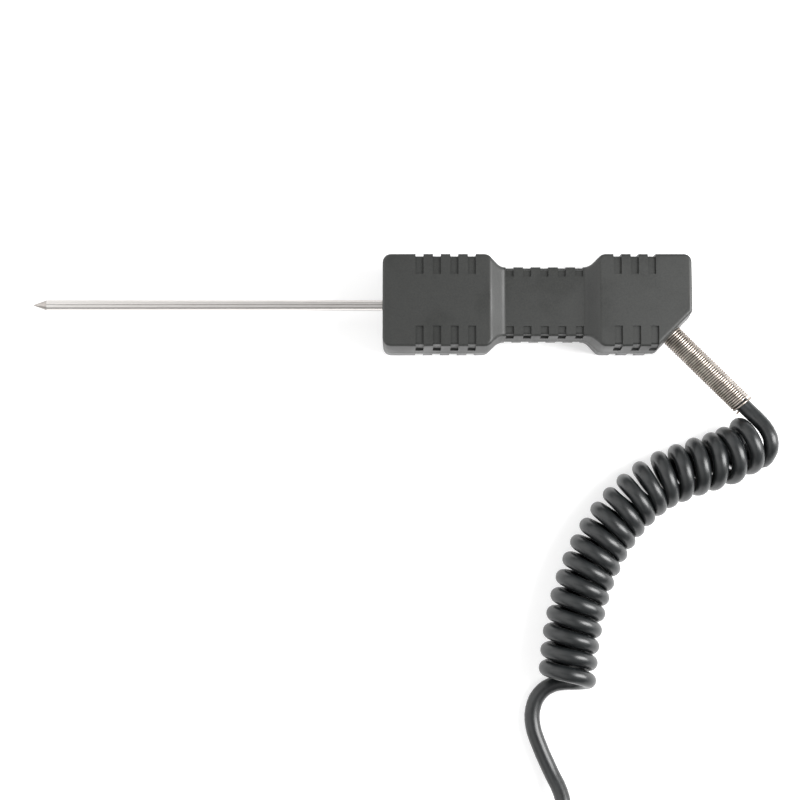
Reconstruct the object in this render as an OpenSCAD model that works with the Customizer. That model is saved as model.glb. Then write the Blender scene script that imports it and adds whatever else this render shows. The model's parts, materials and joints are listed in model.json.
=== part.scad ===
// Hand-held stab probe of a grain moisture meter: a waisted two-shell handle, a thin pointed
// sensing needle, a coil-spring strain relief on the handle's corner and a curly lead to a plug.
// Origin: below the middle of needle and handle, on the surface that the probe lies on.
// +X runs from the needle's point to the handle's tail, +Z up through the front shell.

/* [Needle] */
// Length of the needle in front of the handle, with its point
needle_len = 120; // [80:1:200]
// Outside diameter of the needle tube
needle_d = 3.5; // [3.2:0.1:4.5]
// Wall of the needle tube
needle_wall = 0.5; // [0.4:0.05:0.6]
// Length of the conical point
tip_len = 4.7; // [3:0.1:8]
// Length of the needle tube inside the handle
needle_grip = 22; // [21:0.5:26]

/* [Handle] */
// Length of the handle
handle_len = 105; // [98:1:140]
// Width of head and tail where the shells meet
head_w = 33; // [31:0.5:42]
// Width of the waist where the shells meet
waist_w = 24.7; // [22:0.1:27]
// Thickness of head and tail, both shells together
handle_t = 24; // [23:0.5:32]
// Thickness of the waist, both shells together
waist_t = 17; // [16:0.5:20]
// Length of the full-width head
head_len = 35.9; // [33:0.1:40]
// Length of the full-width tail
tail_len = 31; // [30:0.5:36]
// Length of the sloping step from the head's or tail's face to the waist's face
step_len = 4.5; // [3:0.1:6]
// Draft of the long side walls, in degrees
side_draft = 3.5; // [1:0.5:4]
// Draft of the tail's end wall, in degrees
end_draft = 2; // [0.5:0.5:3]
// Radius of the handle's corners in plan
corner_r = 2.9; // [1.5:0.1:4]
// Radius of the edge all round each face
edge_r = 1; // [0.5:0.1:1.5]
// Leg of the cut-off corner that the lead leaves through
chamfer = 12; // [11:0.5:13]
// Wall thickness of the shells
wall = 2; // [1.6:0.1:2.4]

/* [Grip notches] */
// Width of one notch
notch_w = 2.7; // [1.5:0.1:3.5]
// Distance between the middles of neighbouring notches
notch_pitch = 5.9; // [5:0.1:6.2]
// Depth of a notch
notch_depth = 0.7; // [0.3:0.1:0.9]
// How far a notch on head or tail reaches in over the face
notch_reach = 6.9; // [4:0.1:9]
// How far a notch on the waist reaches in over the face
waist_reach = 3.3; // [2:0.1:6]
// Height above the parting line at which a notch stops
notch_ledge = 4; // [2:0.5:6]
// Number of notches on each edge of the head
head_notches = 4; // [2:1:4]
// Number of notches on each edge of the waist
waist_notches = 5; // [3:2:5]
// Number of notches on each edge of the tail
tail_notches = 3; // [1:1:3]

/* [Strain relief] */
// Outside diameter of the spring
spring_d = 7.6; // [7.4:0.1:8.6]
// Wire of the spring
spring_wire = 0.8; // [0.6:0.05:0.9]
// Length of spring outside the handle
spring_out = 34; // [20:1:50]
// Length of spring held inside the handle
spring_in = 9; // [7:0.5:10]

/* [Lead] */
// Diameter of the lead
cord_d = 5.25; // [4.5:0.05:5.4]
// Outside diameter of the curly part
coil_d = 19.7; // [17:0.1:22]
// Diameter of one insulated core
core_d = 1.2; // [0.9:0.1:1.3]

/* [Plug] */
// Diameter of the knurled coupling ring
ring_d = 15; // [14:0.5:18]
// Length of the coupling ring
ring_len = 11; // [9:0.5:14]
// Diameter of the plug's metal body
body_d = 12; // [11.6:0.1:13]
// Length of the plug's metal body behind the ring
body_len = 18; // [16:0.5:26]
// Length of the rubber boot outside the body
boot_len = 14; // [10:0.5:22]
// Diameter of the insert that holds the contacts
insert_d = 8.4; // [8:0.1:8.6]

/* [Fits] */
// Gap between a piece and the pocket that it sits in
fit_gap = 0.05; // [0.03:0.01:0.1]
// Radial gap between the coupling ring and the neck that it turns on
run_gap = 0.05; // [0.03:0.01:0.1]

/* [Hidden] */
$fn = 48;
eps = 0.01;
up = [0, 0, 1];

// handle, seen from the nose: x runs to the tail, z is 0 where the shells meet
nose_x = (needle_len - handle_len) / 2;
axis_z = handle_t / 2;
half_t = handle_t / 2;
waist_half_t = waist_t / 2;
half_w = head_w / 2;
waist_half_w = waist_w / 2;
shoulder = half_w - waist_half_w;
tail_x = handle_len - tail_len;
step_shift = 0.7;
head_step = head_len + step_shift + step_len;
tail_step = tail_x - step_shift - step_len;
skin = wall + notch_depth;
lip_h = 0.8;
lip_inset = 1.25;

// screws and their pillars
screw_d = 2.5;
screw_len = 14;
screw_head_d = 4.6;
screw_head_h = 1.8;
pillar_d = 6.4;
screw_in = 6.2;
screw_seat = -half_t + 5;
head_screw_x = 8;
screw_y = half_w - screw_in;
screw_at = [
    [head_screw_x, screw_y],
    [head_screw_x, -screw_y],
    [handle_len - 25, -screw_y],
    [handle_len - 8, screw_y]
];

// needle, its collar and seal
needle_r = needle_d / 2;
bore_r = needle_r - needle_wall;
grip_r = needle_r - 0.2;
nose_wall = 3;
seal_w = 1.8;
collar_x = 10;
collar_len = 8;
collar_d = 9;
grub_d = 3;
nose_block_w = 13;
nose_block_end = collar_x + collar_len + 2;
stub_len = 1;
filling_len = 2.2;
wire_d = 0.5;
wire_y = 0.5;
bead_d = 1.6;
ceramic_end = needle_grip + 2;
ceramic_start = -needle_len + tip_len + stub_len + filling_len;
bead_x = ceramic_start - 0.95;

// joints between the sensor's wires and the lead's cores
sleeve_y = 2.4;
sleeve_d = 2.8;
sleeve_len = 12;
sleeve_x = ceramic_end + 6;
splice_x = sleeve_x + sleeve_len / 2;

// the lead's way out, along the normal of the cut-off corner
exit_x = handle_len - chamfer / 2;
exit_y = -half_w + chamfer / 2;
bush_d = 12;
bush_len = 8;
bush_depth = wall + 0.2;
bush_block = 16;
stop_wall = 2;
clamp_depth = 15;
clamp_w = 5;
clamp_h = 4.2;
clamp_bar = 16;
clamp_screw_off = 5.6;
clamp_screw_d = 2;
clamp_screw_len = 10;
clamp_seat = 0.4;
jacket_end = 21;
diag = [sqrt(0.5), -sqrt(0.5), 0];
spring_tip = [nose_x + exit_x, exit_y, axis_z] + spring_out * diag;

// the lead's route, from the spring's end, in mm; the last points lie on the surface
lead_route = [
    [1, -1, 0], [2, -2, 0.2], [4.8, -5, 1], [7.4, -8.6, 2.2],
    [8.8, -12.8, 2.4], [8.4, -16.6, -0.4], [6.3, -18.6, -4.6], [3, -16.8, -8.4]
];
coil_route = [[2, -13], [-6, -17.5], [-18, -21.5], [-32, -28], [-45, -41], [-54, -58], [-59, -77], [-61, -94]];
tail_route = [
    [-57.5, -92.5], [-61.5, -94.6], [-65.8, -96.2], [-69.9, -99.2], [-72, -104], [-72, -109.5],
    [-70.3, -115], [-66, -124], [-63, -130.5], [-62, -136], [-62, -140], [-62, -142]
];
// the plug lies on its ring, so the tail climbs to the ring's middle
plug_z = ring_d / 2;
tail_height = [4.5, 3.2, 2.75, 2.7, 2.7, 2.8, 3.1, plug_z - 3.9, plug_z - 2.3, plug_z - 0.6, plug_z, plug_z];
plug_at = [spring_tip[0] - 62, spring_tip[1] - 142, plug_z];

// plug, along its own axis from the boot's rear end
spigot_len = 3;
spigot_d = 8;
neck_d = 10;
neck_wall_gap = 0.3;
body_end = boot_len + body_len;
ring_start = body_end + neck_wall_gap;
ring_lip = 2;
thread_d = 11.8;
clip_start = ring_start + ring_lip + 0.1;
clip_w = 0.8;
clip_d = 11.4;
clip_groove_d = 9.4;
neck_end = clip_start + clip_w + 1.2;
insert_end = ring_start + ring_len - 1.2;
insert_start = body_end - 4;
cup_d = 9.8;
contact_d = 1.5;
contact_r = 2.2;
contact_bore = 1;
set_screw_d = 2;
knurls = 30;
knurl_depth = 0.35;

// ---- helpers ----

function arc(c, r, a0, a1, n = 6) =
    [for (k = [0:n]) let (a = a0 + (a1 - a0) * k / n) c + r * [cos(a), sin(a)]];

function curve_point(a, b, c, d, t) =
    0.5 * (2 * b + (c - a) * t + (2 * a - 5 * b + 4 * c - d) * t * t
        + (3 * b - a - 3 * c + d) * t * t * t);

// a smooth curve through the points of a route
function smooth(p, steps) = let (n = len(p) - 1) concat(
    [for (i = [0:n - 1], k = [0:steps - 1])
        curve_point(p[max(i - 1, 0)], p[i], p[i + 1], p[min(i + 2, n)], k / steps)],
    [p[n]]);

function unit(v) = v / norm(v);

function heading(p, i) = unit(p[min(i + 1, len(p) - 1)] - p[max(i - 1, 0)]);

// a round tube of radius r along the points p
module sweep(p, r, sides = 8) {
    n = len(p);
    points = [for (i = [0:n - 1])
        let (t = heading(p, i), side = unit(cross(up, t)), top = cross(t, side))
        for (j = [0:sides - 1]) let (a = 360 * j / sides)
        p[i] + r * (cos(a) * side + sin(a) * top)];
    skin_faces = [for (i = [0:n - 2], j = [0:sides - 1]) let (k = (j + 1) % sides)
        [i * sides + j, (i + 1) * sides + j, (i + 1) * sides + k, i * sides + k]];
    ends = [
        [for (j = [0:sides - 1]) j],
        [for (j = [sides - 1:-1:0]) (n - 1) * sides + j]
    ];
    polyhedron(points, concat(skin_faces, ends), convexity = 6);
}

// puts a child given in the handle's own coordinates in its place
module in_handle() {
    translate([nose_x, 0, axis_z]) children();
}

// the child's z becomes the distance along x
module along_x(x = 0, y = 0) {
    translate([x, y, 0]) rotate([0, 90, 0]) children();
}

// the child's z becomes the distance out of the cut-off corner, along the lead's axis
module along_exit() {
    translate([exit_x, exit_y, 0]) rotate([0, 0, -45]) rotate([0, 90, 0]) children();
}

module along_plug() {
    translate(plug_at) rotate([90, 0, 0]) children();
}

module pipe(r_out, r_in, h) {
    difference() {
        cylinder(r = r_out, h = h);
        translate([0, 0, -1]) cylinder(r = r_in, h = h + 2);
    }
}

// a screw along z: its head's top at 0, its shank downwards
module screw(d, length, head_d, head_h) {
    difference() {
        union() {
            translate([0, 0, -head_h]) cylinder(d = head_d, h = head_h);
            translate([0, 0, -head_h - length]) cylinder(d = d, h = length);
        }
        for (a = [0, 90])
            rotate([0, 0, a])
                translate([-head_d / 3.4, -0.3, -head_h * 0.6])
                    cube([head_d / 1.7, 0.6, head_h]);
    }
}

// ---- handle shells ----

// how far the side walls have leaned in at a height above the parting line
function lean(z) = z * tan(side_draft);

// heights and extra insets of the slices that a block is drawn through
function slices(top) = [
    [0, 0],
    [waist_half_t - edge_r, 0],
    [top - edge_r, 0],
    [top - 0.29 * edge_r, 0.29 * edge_r],
    [top, edge_r]
];

// how far a block's sloping step has run at a height
function step_at(z) = max(0, z - waist_half_t) * step_len / (half_t - waist_half_t);

function bevel_shift(inset) = inset * (sqrt(2) - 1);

function head_outline(z, extra) = let (
    inset = lean(z) + extra,
    y = half_w - inset,
    x1 = head_len - bevel_shift(inset),
    x2 = head_step - step_at(z),
    y2 = y - max(0, x2 - x1),
    c = y - corner_r + min(extra, corner_r - 0.5))
    concat(
        arc([extra + y - c, c], y - c, 180, 90),
        [[x1, y], [x2, y2], [x2, -y2], [x1, -y]],
        arc([extra + y - c, -c], y - c, 270, 180));

function tail_outline(z, extra) = let (
    inset = lean(z) + extra,
    y = half_w - inset,
    x_end = handle_len - z * tan(end_draft) - extra,
    x1 = tail_x + bevel_shift(inset),
    x2 = tail_step + step_at(z),
    y2 = y - max(0, x1 - x2),
    r = corner_r - min(extra, corner_r - 0.5),
    cut = handle_len + half_w - chamfer - inset * sqrt(2))
    concat(
        [[x2, -y2], [x2, y2], [x1, y]],
        arc([x_end - r, y - r], r, 90, 0),
        [[x_end, x_end - cut], [cut - y, -y], [x1, -y]]);

function waist_outline(z, extra) = let (y = waist_half_w - lean(z) - extra)
    [[head_len, -y], [head_len, y], [tail_x, y], [tail_x, -y]];

module slice(z) {
    translate([0, 0, max(0, z - eps)]) linear_extrude(eps) children();
}

// outside of one shell, from the parting line up
module outer_half() {
    hull() for (s = slices(half_t)) slice(s[0]) polygon(head_outline(s[0], s[1]));
    hull() for (s = slices(half_t)) slice(s[0]) polygon(tail_outline(s[0], s[1]));
    hull() for (s = slices(waist_half_t)) slice(s[0]) polygon(waist_outline(s[0], s[1]));
}

// plan of the whole handle at the parting line, moved in by an inset
function plan(inset) = let (
    y = half_w - inset,
    w = waist_half_w - inset,
    b = bevel_shift(inset),
    r = max(corner_r - inset, 0.4),
    cut = handle_len + half_w - chamfer - inset * sqrt(2))
    concat(
        arc([inset + r, y - r], r, 180, 90),
        [[head_len - b, y], [head_len + shoulder - b, w], [tail_x - shoulder + b, w], [tail_x + b, y]],
        arc([handle_len - inset - r, y - r], r, 90, 0),
        [[handle_len - inset, handle_len - inset - cut], [cut - y, -y]],
        [[tail_x + b, -y], [tail_x - shoulder + b, -w], [head_len + shoulder - b, -w], [head_len - b, -y]],
        arc([inset + r, r - y], r, 270, 180));

module cavity() {
    deep = half_t - wall;
    head_room = head_len - wall;
    translate([0, 0, -eps]) linear_extrude(waist_half_t - wall + eps) polygon(plan(skin));
    translate([0, 0, -eps]) linear_extrude(deep + eps) intersection() {
        polygon(plan(skin));
        union() {
            translate([0, -half_w]) square([head_room, head_w]);
            translate([tail_x + wall, -half_w]) square([tail_len, head_w]);
        }
    }
}

// the strip round the shells that one shell's lip fills
module lip(inset, height) {
    linear_extrude(height) difference() {
        polygon(plan(inset));
        polygon(plan(skin));
    }
}

// one grip notch: over the face and down the side to the ledge
module notch(x, half, top, reach) {
    face_y = half - lean(top);
    side_y = function (z) half - lean(z) - notch_depth;
    floor_z = top - notch_depth;
    translate([x + notch_w / 2, 0, 0]) rotate([90, 0, -90]) linear_extrude(notch_w) polygon([
        [face_y - reach, top + 1],
        [face_y - reach, floor_z],
        [side_y(floor_z), floor_z],
        [side_y(notch_ledge), notch_ledge],
        [half + 1, notch_ledge],
        [half + 1, top + 1]
    ]);
}

module notches() {
    waist_mid = (head_len + tail_x) / 2;
    for (side = [0, 1]) mirror([0, side, 0]) {
        for (k = [0:head_notches - 1])
            notch(head_len - 5.7 - k * notch_pitch, half_w, half_t, notch_reach);
        for (k = [0:waist_notches - 1])
            notch(waist_mid + (k - (waist_notches - 1) / 2) * notch_pitch, waist_half_w, waist_half_t,
                waist_reach);
        for (k = [0:tail_notches - 1])
            notch(tail_x + 5.3 + k * notch_pitch, half_w, half_t, notch_reach);
    }
}

// solid parts inside a shell that hold the needle, the seal, the collar and the spring's bush
module seats() {
    depth = half_t - wall / 2;
    translate([wall / 2, -nose_block_w / 2, 0]) cube([nose_block_end - wall / 2, nose_block_w, depth]);
    intersection() {
        linear_extrude(depth) polygon(plan(wall / 2));
        translate([exit_x, exit_y, 0]) rotate([0, 0, -45])
            translate([-bush_depth - bush_len - stop_wall, -bush_block / 2, 0])
                cube([bush_depth + bush_len + stop_wall, bush_block, depth]);
    }
}

// what is cut through both shells for the needle and the lead
module seat_bores() {
    along_x(-1) cylinder(r = grip_r + fit_gap, h = needle_grip + 3);
    along_x(nose_wall) cylinder(r = grip_r + seal_w, h = seal_w + fit_gap);
    along_x(collar_x - fit_gap) cylinder(d = collar_d + 2 * fit_gap, h = collar_len + 2 * fit_gap);
    along_exit() {
        translate([0, 0, -bush_depth - 1]) cylinder(d = spring_d + 2 * fit_gap, h = bush_depth + 3);
        translate([0, 0, -bush_depth - bush_len - fit_gap])
            cylinder(d = bush_d + 2 * fit_gap, h = bush_len + 2 * fit_gap);
        translate([0, 0, -bush_depth - bush_len - stop_wall - 1]) cylinder(d = cord_d + 0.8, h = stop_wall + 2);
    }
}

module front_shell() {
    color([0.30, 0.31, 0.29]) in_handle() difference() {
        union() {
            difference() {
                outer_half();
                cavity();
            }
            seats();
            for (p = screw_at) translate([p[0], p[1], 0]) cylinder(d = pillar_d, h = half_t - wall / 2);
        }
        notches();
        seat_bores();
        translate([0, 0, -eps]) lip(lip_inset - fit_gap * 2, lip_h + fit_gap + eps);
        for (p = screw_at)
            translate([p[0], p[1], -1]) cylinder(d = screw_d + 2 * fit_gap, h = 1.5 + screw_len + screw_seat);
    }
}

module back_shell() {
    pillar_h = half_t - wall / 2;
    color([0.28, 0.29, 0.27]) in_handle() difference() {
        union() {
            mirror([0, 0, 1]) {
                difference() {
                    outer_half();
                    cavity();
                }
                seats();
                for (p = screw_at) translate([p[0], p[1], 0]) cylinder(d = pillar_d, h = pillar_h);
            }
            lip(lip_inset, lip_h);
            along_clamp() {
                for (s = [-1, 1])
                    translate([0, s * clamp_screw_off, -pillar_h]) cylinder(d = 5, h = pillar_h + clamp_seat);
                translate([-clamp_w / 2, -clamp_screw_off, -pillar_h]) cube([clamp_w, 2 * clamp_screw_off, pillar_h]);
            }
        }
        mirror([0, 0, 1]) notches();
        seat_bores();
        along_exit() translate([0, 0, -clamp_depth - clamp_w])
            cylinder(d = cord_d + 2 * fit_gap, h = 2 * clamp_w);
        along_clamp() for (s = [-1, 1])
            translate([0, s * clamp_screw_off, clamp_h - clamp_screw_len])
                cylinder(d = clamp_screw_d + 2 * fit_gap, h = clamp_screw_len);
        for (p = screw_at) translate([p[0], p[1], 0]) {
            translate([0, 0, -half_t - 1]) cylinder(d = screw_d + 2 * fit_gap, h = half_t + 2);
            translate([0, 0, -half_t - 1])
                cylinder(d = screw_head_d + 6 * fit_gap, h = 1 + half_t + screw_seat);
        }
    }
}

module shell_screw(i) {
    p = screw_at[i - 1];
    color([0.62, 0.62, 0.64]) in_handle() translate([p[0], p[1], screw_seat - screw_head_h]) mirror([0, 0, 1])
        screw(screw_d, screw_len, screw_head_d, screw_head_h);
}

// ---- needle ----

// the tube is turned down inside the handle, so that its shoulder bears on the nose
module probe_tube() {
    stem = needle_len - tip_len;
    color([0.78, 0.76, 0.74]) in_handle() along_x(-stem) difference() {
        union() {
            cylinder(r = needle_r, h = stem);
            cylinder(r = grip_r, h = stem + needle_grip);
        }
        translate([0, 0, -1]) cylinder(r = bore_r, h = stem + needle_grip + 2);
    }
}

module probe_tip() {
    point_d = 0.3;
    color([0.80, 0.78, 0.76]) in_handle() along_x(-needle_len) {
        cylinder(d1 = point_d, d2 = needle_d, h = tip_len);
        translate([0, 0, tip_len - eps]) cylinder(r = bore_r - fit_gap, h = stub_len + eps);
    }
}

module tip_filling() {
    start = tip_len + stub_len;
    color([0.85, 0.85, 0.80]) in_handle() difference() {
        along_x(start - needle_len) cylinder(r = bore_r - fit_gap, h = filling_len);
        translate([bead_x, 0, 0]) sphere(d = bead_d);
        for (s = [-1, 1]) along_x(bead_x, s * wire_y) cylinder(d = wire_d + 2 * fit_gap, h = filling_len);
    }
}

module sensor_bead() {
    color([0.35, 0.30, 0.20]) in_handle() translate([bead_x, 0, 0]) sphere(d = bead_d);
}

module tube_insulator() {
    long = ceramic_end - ceramic_start;
    color([0.92, 0.90, 0.84]) in_handle() difference() {
        along_x(ceramic_start) cylinder(r = bore_r - 2 * fit_gap, h = long);
        for (s = [-1, 1]) along_x(ceramic_start - 1, s * wire_y) cylinder(d = wire_d + 2 * fit_gap, h = long + 2);
    }
}

module sensor_wire(s) {
    start = bead_x + bead_d / 4;
    color([0.75, 0.72, 0.60]) in_handle() {
        along_x(start, s * wire_y) cylinder(d = wire_d, h = ceramic_end + 0.5 - start);
        sweep(smooth([
            [ceramic_end + 0.4, s * wire_y, 0],
            [ceramic_end + 2, s * (wire_y + 0.3), 0],
            [sleeve_x - 1.5, s * (sleeve_y - 0.2), 0],
            [sleeve_x, s * sleeve_y, 0],
            [splice_x - 0.5, s * sleeve_y, 0]
        ], 2), wire_d / 2);
    }
}

module tube_collar() {
    color([0.66, 0.66, 0.68]) in_handle() difference() {
        along_x(collar_x) pipe(collar_d / 2, grip_r + fit_gap / 2, collar_len);
        translate([collar_x + collar_len / 2, 0, 0]) cylinder(d = grub_d + fit_gap, h = collar_d);
    }
}

module collar_grub_screw() {
    seat = grip_r + fit_gap;
    top = collar_d / 2 - 0.3;
    color([0.25, 0.25, 0.27]) in_handle() translate([collar_x + collar_len / 2, 0, 0]) difference() {
        translate([0, 0, seat]) cylinder(d = grub_d, h = top - seat);
        translate([0, 0, top - 1.2]) cylinder(d = 1.7, h = 2, $fn = 6);
    }
}

module tube_seal() {
    color([0.10, 0.10, 0.10]) in_handle() along_x(nose_wall + seal_w / 2)
        rotate_extrude() translate([grip_r + seal_w / 2, 0]) circle(d = seal_w - 2 * fit_gap);
}

// ---- wiring inside the handle ----

module splice_sleeve(s) {
    color(s > 0 ? [0.70, 0.10, 0.08] : [0.85, 0.85, 0.82]) in_handle()
        along_x(sleeve_x, s * sleeve_y) pipe(sleeve_d / 2 - 0.2, core_d / 2 + fit_gap, sleeve_len);
}

// a core from its splice through the waist to the lead's stripped end
module core(s, bend) {
    spread = 0.9;
    end = [exit_x, exit_y, 0] - (jacket_end + 2 * fit_gap) * diag;
    foot = end + s * spread * [-diag[1], diag[0], 0];
    in_handle() sweep(smooth([
        [splice_x + 0.5, s * sleeve_y, 0],
        [sleeve_x + sleeve_len, s * sleeve_y, 0],
        [sleeve_x + sleeve_len + 5, s * sleeve_y, 0],
        [tail_x - 17, bend - 4.5, 0],
        [tail_x - 7, bend - 1, 0],
        [tail_x + 1, bend, 0],
        foot - 4.5 * diag,
        foot
    ], 3), core_d / 2);
}

module core_red() {
    color([0.75, 0.08, 0.06]) core(1, 9);
}

module core_white() {
    color([0.90, 0.90, 0.88]) core(-1, 5);
}

module cable_end() {
    color([0.08, 0.08, 0.08]) in_handle() along_exit() translate([0, 0, -jacket_end])
        cylinder(d = cord_d, h = jacket_end - spring_in);
}

// the clamp's own coordinates: x along the lead, z up
module along_clamp() {
    translate([exit_x, exit_y, 0] - clamp_depth * diag) rotate([0, 0, -45]) children();
}

module cable_clamp() {
    color([0.15, 0.15, 0.16]) in_handle() difference() {
        along_clamp() translate([-clamp_w / 2, -clamp_bar / 2, clamp_seat])
            cube([clamp_w, clamp_bar, clamp_h - clamp_seat]);
        along_exit() translate([0, 0, -clamp_depth - clamp_w])
            cylinder(d = cord_d + 2 * fit_gap, h = 2 * clamp_w);
        along_clamp() for (s = [-1, 1]) translate([0, s * clamp_screw_off, 0])
            cylinder(d = clamp_screw_d + 2 * fit_gap, h = clamp_h + 1);
    }
}

module clamp_screw(i) {
    head_h = 1.3;
    color([0.62, 0.62, 0.64]) in_handle() along_clamp()
        translate([0, (2 * i - 3) * clamp_screw_off, clamp_h + head_h])
            screw(clamp_screw_d, clamp_screw_len - 1, 3.8, head_h);
}

// ---- strain relief ----

module spring_bush() {
    color([0.12, 0.12, 0.12]) in_handle() along_exit() difference() {
        translate([0, 0, -bush_depth - bush_len]) cylinder(d = bush_d, h = bush_len);
        translate([0, 0, -spring_in - fit_gap]) cylinder(d = spring_d + 2 * fit_gap, h = spring_in + 1);
        translate([0, 0, -bush_depth - bush_len - 1]) cylinder(d = cord_d + 0.6, h = bush_len);
    }
}

// close-wound spring, drawn as a sleeve with one ridge for each turn
module strain_relief_spring() {
    long = spring_out + spring_in;
    turns = round(long / (spring_wire + 0.01));
    pitch = long / turns;
    crest = spring_d / 2;
    root = crest - spring_wire * 0.35;
    color([0.72, 0.71, 0.68]) in_handle() along_exit() translate([0, 0, -spring_in]) rotate_extrude()
        polygon(concat(
            [[crest - spring_wire, long], [crest - spring_wire, 0]],
            [for (k = [0:turns - 1], e = [[0.0, root], [0.3, crest], [0.7, crest]])
                [e[1], (k + e[0]) * pitch]],
            [[root, long]]));
}

module cord_in_spring() {
    color([0.08, 0.08, 0.08]) in_handle() along_exit() translate([0, 0, -spring_in])
        cylinder(d = cord_d, h = spring_out + spring_in);
}

// ---- curly lead ----

module cord_lead() {
    route = concat([[0, 0, 0]], smooth(lead_route, 2));
    color([0.08, 0.08, 0.08]) sweep([for (p = route) spring_tip + p], cord_d / 2);
}

module cord_coil() {
    axis = [for (p = smooth(coil_route, 2)) [spring_tip[0] + p[0], spring_tip[1] + p[1], coil_d / 2]];
    color([0.08, 0.08, 0.08]) sweep(axis, coil_d / 2, 12);
}

module cord_tail() {
    route = [for (i = [0:len(tail_route) - 1])
        [spring_tip[0] + tail_route[i][0], spring_tip[1] + tail_route[i][1], tail_height[i]]];
    inside = plug_at - [0, boot_len + spigot_len - 0.5, 0];
    color([0.08, 0.08, 0.08]) sweep(concat(smooth(route, 2), [inside]), cord_d / 2);
}

// ---- plug ----

module plug_boot() {
    rear_d = cord_d + 2.4;
    front_d = body_d - 1;
    color([0.10, 0.10, 0.10]) along_plug() difference() {
        union() {
            cylinder(d1 = rear_d, d2 = front_d, h = boot_len);
            cylinder(d = spigot_d, h = boot_len + spigot_len);
        }
        translate([0, 0, -1]) cylinder(d = cord_d + 3 * fit_gap, h = boot_len + spigot_len + 2);
        for (k = [1:4]) translate([0, 0, boot_len * k / 5.5]) difference() {
            cylinder(d = body_d, h = 0.9);
            translate([0, 0, -1]) cylinder(d = cord_d + 1.9, h = 3);
        }
    }
}

module plug_body() {
    color([0.74, 0.74, 0.76]) along_plug() difference() {
        union() {
            translate([0, 0, boot_len]) cylinder(d1 = body_d - 1, d2 = body_d, h = 0.8);
            translate([0, 0, boot_len + 0.8]) cylinder(d = body_d, h = body_len - 0.8);
            cylinder(d = neck_d, h = neck_end);
        }
        translate([0, 0, -1]) cylinder(d = body_d + 1, h = boot_len + 1);
        translate([0, 0, boot_len - 1]) cylinder(d = spigot_d + 2 * fit_gap, h = spigot_len + 2);
        translate([0, 0, boot_len + spigot_len + fit_gap])
            cylinder(d = cup_d, h = insert_start - boot_len - spigot_len - fit_gap);
        translate([0, 0, insert_start - 1]) cylinder(d = insert_d + 2 * fit_gap, h = neck_end);
        translate([0, 0, clip_start]) difference() {
            cylinder(d = clip_d, h = clip_w);
            translate([0, 0, -1]) cylinder(d = clip_groove_d, h = clip_w + 2);
        }
        translate([0, 0, boot_len + 7]) rotate([-90, 0, 0]) cylinder(d = set_screw_d + 2 * fit_gap, h = body_d);
    }
}

module plug_set_screw() {
    color([0.25, 0.25, 0.27]) along_plug() translate([0, 0, boot_len + 7]) rotate([-90, 0, 0])
        translate([0, 0, cup_d / 2]) difference() {
            cylinder(d = set_screw_d, h = (body_d - cup_d) / 2 - 0.1);
            translate([-set_screw_d, -0.2, (body_d - cup_d) / 2 - 0.5]) cube([2 * set_screw_d, 0.4, 1]);
        }
}

module plug_insert() {
    color([0.13, 0.13, 0.14]) along_plug() difference() {
        translate([0, 0, insert_start]) cylinder(d = insert_d, h = insert_end - insert_start);
        for (a = [45:90:315]) rotate([0, 0, a]) translate([contact_r, 0, insert_start - 1])
            cylinder(d = contact_d + 2 * fit_gap, h = insert_end);
        translate([insert_d / 2, 0, insert_end - 5]) cylinder(d = 1.4, h = 10);
    }
}

module plug_contacts() {
    color([0.85, 0.68, 0.30]) along_plug() for (a = [45:90:315])
        rotate([0, 0, a]) translate([contact_r, 0, insert_start - 2])
            pipe(contact_d / 2, contact_bore / 2, insert_end - insert_start + 1.6);
}

module plug_cores() {
    start = boot_len + spigot_len - 0.4;
    cup = insert_start - 1;
    at = contact_r * sqrt(0.5);
    color([0.75, 0.08, 0.06]) for (s = [-1, 1]) sweep(smooth([
        plug_at + [s * 0.9, -start, 0],
        plug_at + [s * 0.9, -start - 2, 0.3],
        plug_at + [s * at, -cup + 1.5, at],
        plug_at + [s * at, -cup, at],
        plug_at + [s * at, -cup - 0.8, at]
    ], 2), contact_bore / 2 - fit_gap);
}

module coupling_ring() {
    long = ring_len;
    bevel = 0.8;
    color([0.78, 0.78, 0.80]) along_plug() translate([0, 0, ring_start]) difference() {
        rotate_extrude() polygon([
            [neck_d / 2 + run_gap, 0],
            [ring_d / 2 - bevel, 0],
            [ring_d / 2, bevel],
            [ring_d / 2, long - bevel],
            [ring_d / 2 - bevel, long],
            [thread_d / 2 + 0.4, long],
            [thread_d / 2, long - 0.4],
            [thread_d / 2, ring_lip],
            [neck_d / 2 + run_gap, ring_lip]
        ]);
        for (k = [0:knurls - 1]) rotate([0, 0, 360 * k / knurls])
            translate([ring_d / 2 + 0.35, 0, long / 2]) rotate([0, 0, 45])
                cube([2 * knurl_depth, 2 * knurl_depth, long - 4 * bevel], center = true);
    }
}

module ring_circlip() {
    color([0.55, 0.55, 0.57]) along_plug() translate([0, 0, clip_start + fit_gap]) difference() {
        pipe(clip_d / 2, clip_groove_d / 2 + fit_gap, clip_w - 2 * fit_gap);
        translate([0, -0.8, -1]) cube([clip_d, 1.6, clip_w + 2]);
    }
}

front_shell();
back_shell();
for (i = [1:4]) shell_screw(i);
probe_tube();
probe_tip();
tip_filling();
sensor_bead();
tube_insulator();
sensor_wire(1);  // sensor_wire_pos
sensor_wire(-1);  // sensor_wire_neg
tube_collar();
collar_grub_screw();
tube_seal();
splice_sleeve(1);  // splice_sleeve_pos
splice_sleeve(-1);  // splice_sleeve_neg
core_red();
core_white();
cable_end();
cable_clamp();
for (i = [1:2]) clamp_screw(i);
spring_bush();
strain_relief_spring();
cord_in_spring();
cord_lead();
cord_coil();
cord_tail();
plug_boot();
plug_body();
plug_set_screw();
plug_insert();
plug_contacts();
plug_cores();
coupling_ring();
ring_circlip();
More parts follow.
